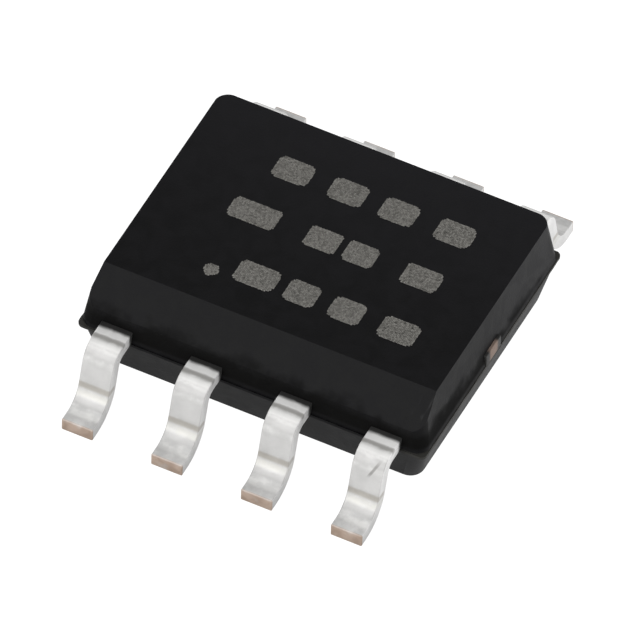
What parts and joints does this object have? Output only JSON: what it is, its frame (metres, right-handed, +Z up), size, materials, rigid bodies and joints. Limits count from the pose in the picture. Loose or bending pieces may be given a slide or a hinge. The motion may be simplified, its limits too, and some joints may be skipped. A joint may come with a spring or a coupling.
{
  "type": "field-effect transistor",
  "caption": "Power field-effect transistor in a black moulded package with two rows of bent leads for soldering to a board.",
  "frame": {"origin": "on the board, under the middle of the package", "axes": "+X along the rows of leads from lead 1 to lead 4, +Y across the rows from leads 1 to 4 towards leads 5 to 8, +Z up from the board"},
  "size_m": [0.005, 0.006, 0.0015],
  "materials": {
    "mould_compound": "matte",
    "tinned_copper": "satin",
    "silicon": "polished",
    "solder": "satin",
    "gold_wire": "polished"
  },
  "bodies": {
    "root": {"moulded_body": "mould_compound", "drain_frame": "tinned_copper", "source_frame": "tinned_copper", "gate_lead": "tinned_copper", "silicon_die": "silicon", "die_solder": "solder", "gate_wire": "gold_wire", "source_wire_1": "gold_wire", "source_wire_2": "gold_wire", "source_wire_3": "gold_wire", "source_wire_4": "gold_wire", "source_wire_5": "gold_wire", "source_wire_6": "gold_wire"}
  },
  "joints": []
}
